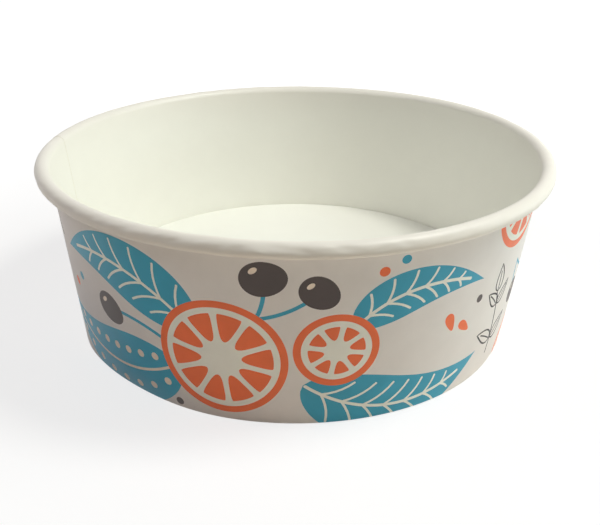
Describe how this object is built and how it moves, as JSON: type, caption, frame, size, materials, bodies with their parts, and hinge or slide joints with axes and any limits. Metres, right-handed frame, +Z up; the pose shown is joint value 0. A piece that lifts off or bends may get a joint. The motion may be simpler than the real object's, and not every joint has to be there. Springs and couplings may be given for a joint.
{
  "type": "paper dessert cup",
  "caption": "Wide, shallow paper dessert cup with a rolled rim, a lap side seam, a hemmed base and a raised floor, printed outside with fruit and leaves.",
  "frame": {"origin": "on the table, under the middle of the cup", "axes": "+Z up through the mouth, -Y towards the viewer of the picture, +X to the viewer's right; the side seam is at the left, 175 degrees anticlockwise from +X"},
  "size_m": [0.1502, 0.15, 0.053],
  "materials": {
    "wall_board": "satin",
    "bottom_board": "satin"
  },
  "bodies": {
    "root": {"side_wall": "wall_board", "bottom": "bottom_board"}
  },
  "joints": []
}
